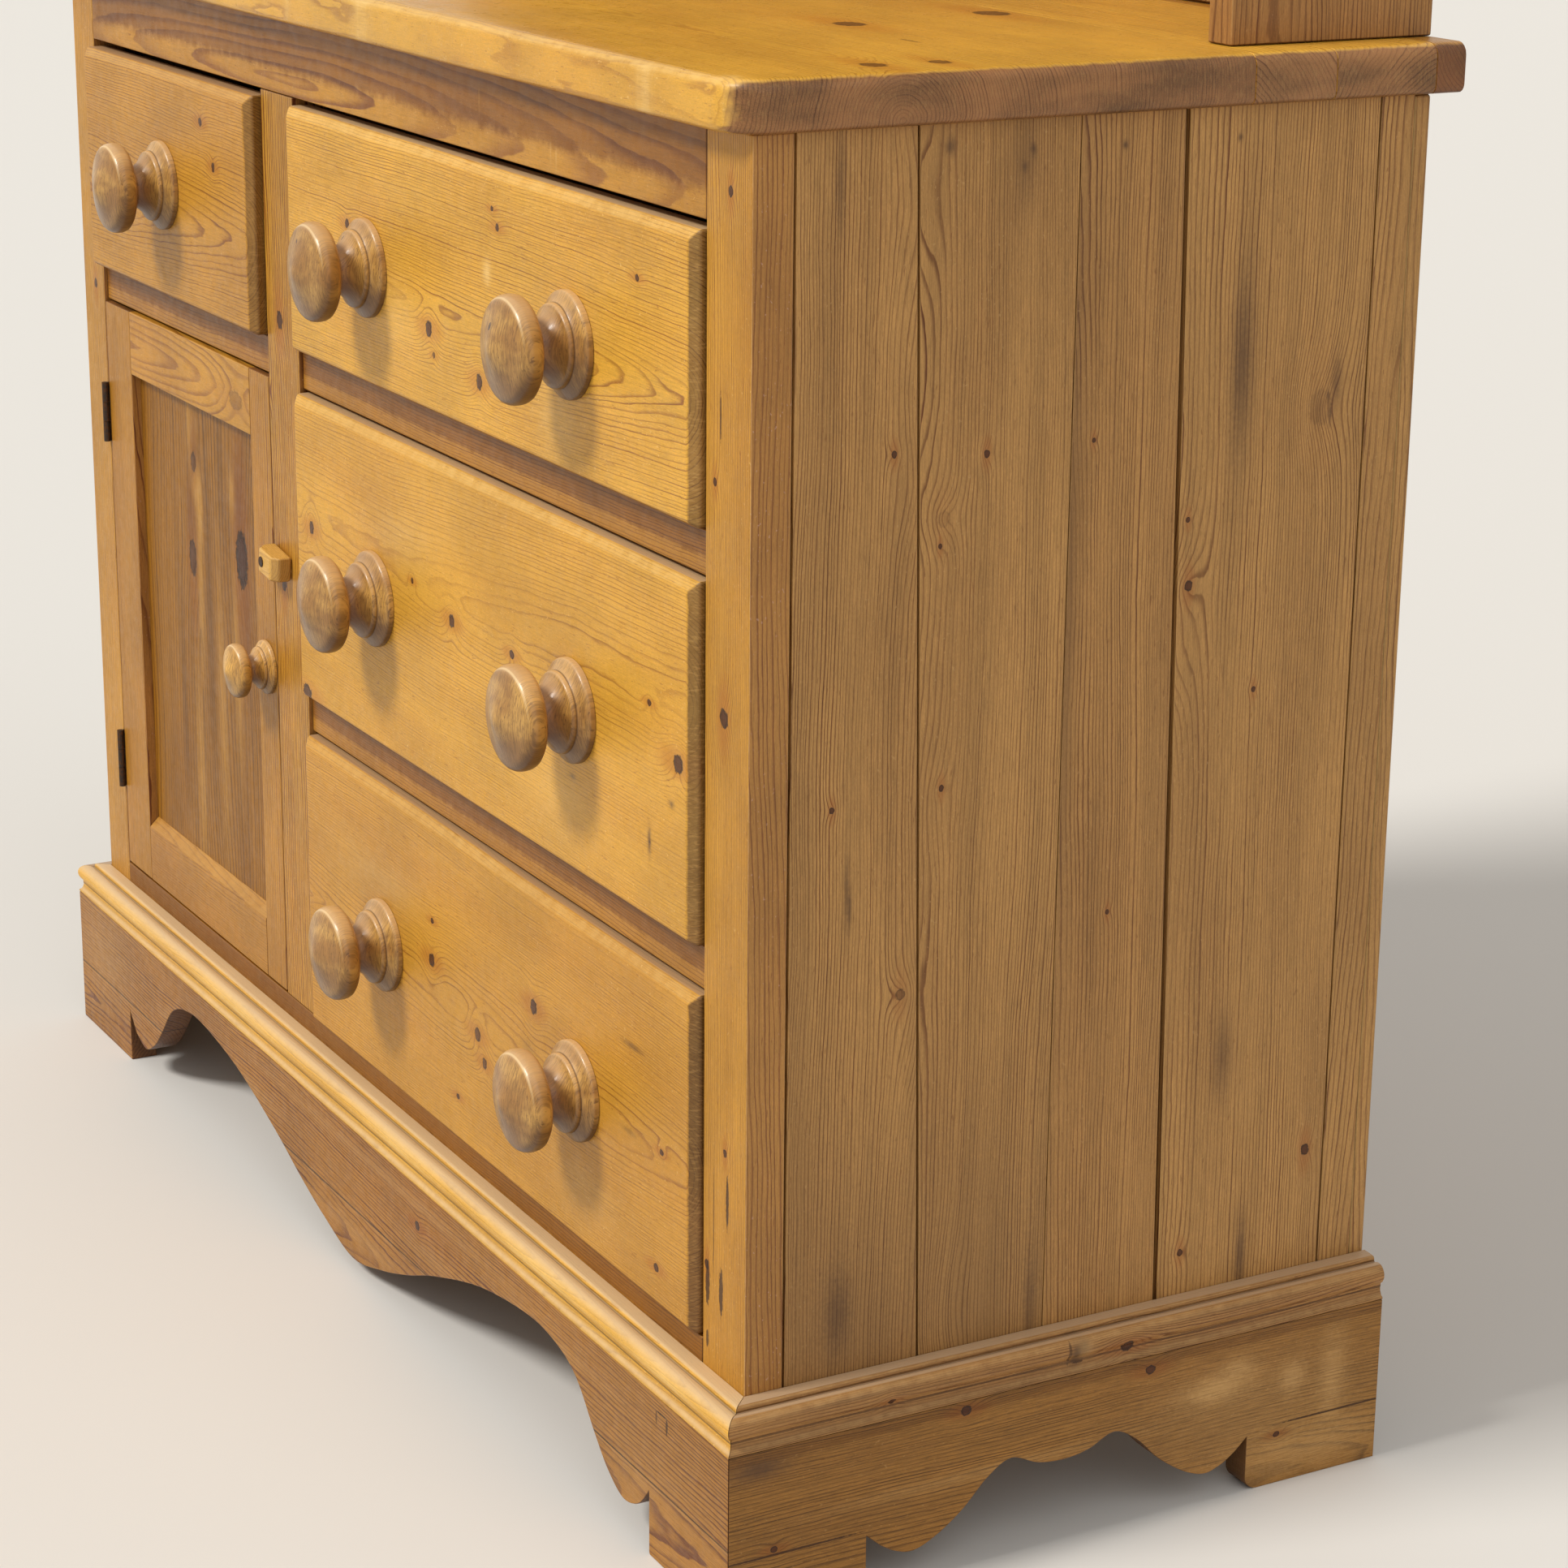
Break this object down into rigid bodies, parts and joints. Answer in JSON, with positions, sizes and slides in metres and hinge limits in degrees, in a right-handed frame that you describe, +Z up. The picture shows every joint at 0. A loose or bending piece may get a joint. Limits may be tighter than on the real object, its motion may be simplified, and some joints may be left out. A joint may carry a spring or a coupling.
{
  "type": "welsh dresser",
  "caption": "Pine welsh dresser: a base with a cupboard and drawers on a scrolled plinth, and an open plate rack on its top.",
  "frame": {"origin": "centre of the footprint's bounding box, on the floor", "axes": "+Z up, the front faces -Y, +X to the right seen from the front"},
  "size_m": [1.102, 0.5042, 1.8685],
  "materials": {
    "front_pine": "waxed honey pine, worn satin",
    "side_pine": "dull brown waxed pine",
    "inside_pine": "bare sawn pine",
    "knob_pine": "turned and waxed, satin",
    "iron": "dull dark iron"
  },
  "bodies": {
    "carcass": {"top_board": "front_pine", "stile_left": "front_pine", "stile_right": "front_pine", "muntin": "front_pine", "top_rail": "front_pine", "bottom_rail": "front_pine", "rail_left": "front_pine", "rail_upper": "front_pine", "rail_lower": "front_pine", "side_left": "side_pine", "side_right": "side_pine", "partition": "inside_pine", "case_bottom": "inside_pine", "case_back": "inside_pine", "runner_shelf_left": "inside_pine", "runner_shelf_upper": "inside_pine", "runner_shelf_lower": "inside_pine", "plinth_front": "front_pine", "plinth_left": "side_pine", "plinth_right": "side_pine", "moulding_front": "front_pine", "moulding_left": "side_pine", "moulding_right": "side_pine", "upper_hinge_frame_leaf": "iron", "lower_hinge_frame_leaf": "iron", "rack_side_left": "side_pine", "rack_side_right": "side_pine", "rack_shelf_lower": "front_pine", "rack_shelf_upper": "front_pine", "rack_frieze": "front_pine", "rack_cornice": "front_pine", "rack_back": "side_pine"},
    "small_drawer": {"small_drawer_front": "front_pine", "small_drawer_box": "inside_pine", "small_drawer_bottom": "inside_pine", "small_drawer_knob": "knob_pine"},
    "upper_drawer": {"upper_drawer_front": "front_pine", "upper_drawer_box": "inside_pine", "upper_drawer_bottom": "inside_pine", "upper_drawer_knob_left": "knob_pine", "upper_drawer_knob_right": "knob_pine"},
    "middle_drawer": {"middle_drawer_front": "front_pine", "middle_drawer_box": "inside_pine", "middle_drawer_bottom": "inside_pine", "middle_drawer_knob_left": "knob_pine", "middle_drawer_knob_right": "knob_pine"},
    "lower_drawer": {"lower_drawer_front": "front_pine", "lower_drawer_box": "inside_pine", "lower_drawer_bottom": "inside_pine", "lower_drawer_knob_left": "knob_pine", "lower_drawer_knob_right": "knob_pine"},
    "door": {"door_hinge_stile": "front_pine", "door_lock_stile": "front_pine", "door_top_rail": "front_pine", "door_bottom_rail": "front_pine", "door_panel": "front_pine", "door_knob": "knob_pine", "upper_hinge_door_leaf": "iron", "lower_hinge_door_leaf": "iron"},
    "button": {"turn_button": "front_pine"}
  },
  "joints": [
    {"name": "small_drawer_slide", "type": "slide", "parent": "carcass", "child": "small_drawer", "axis": [0, -1, 0], "range_m": [0, 0.3]},
    {"name": "upper_drawer_slide", "type": "slide", "parent": "carcass", "child": "upper_drawer", "axis": [0, -1, 0], "range_m": [0, 0.3]},
    {"name": "middle_drawer_slide", "type": "slide", "parent": "carcass", "child": "middle_drawer", "axis": [0, -1, 0], "range_m": [0, 0.3]},
    {"name": "lower_drawer_slide", "type": "slide", "parent": "carcass", "child": "lower_drawer", "axis": [0, -1, 0], "range_m": [0, 0.3]},
    {"name": "door_swing", "type": "hinge", "parent": "carcass", "child": "door", "pos_m": [-0.4856, -0.19465, 0.367], "axis": [0, 0, -1], "range_deg": [0, 170]},
    {"name": "button_turn", "type": "hinge", "parent": "carcass", "child": "button", "pos_m": [-0.1405, -0.19215, 0.464], "axis": [0, 1, 0], "continuous": true}
  ]
}
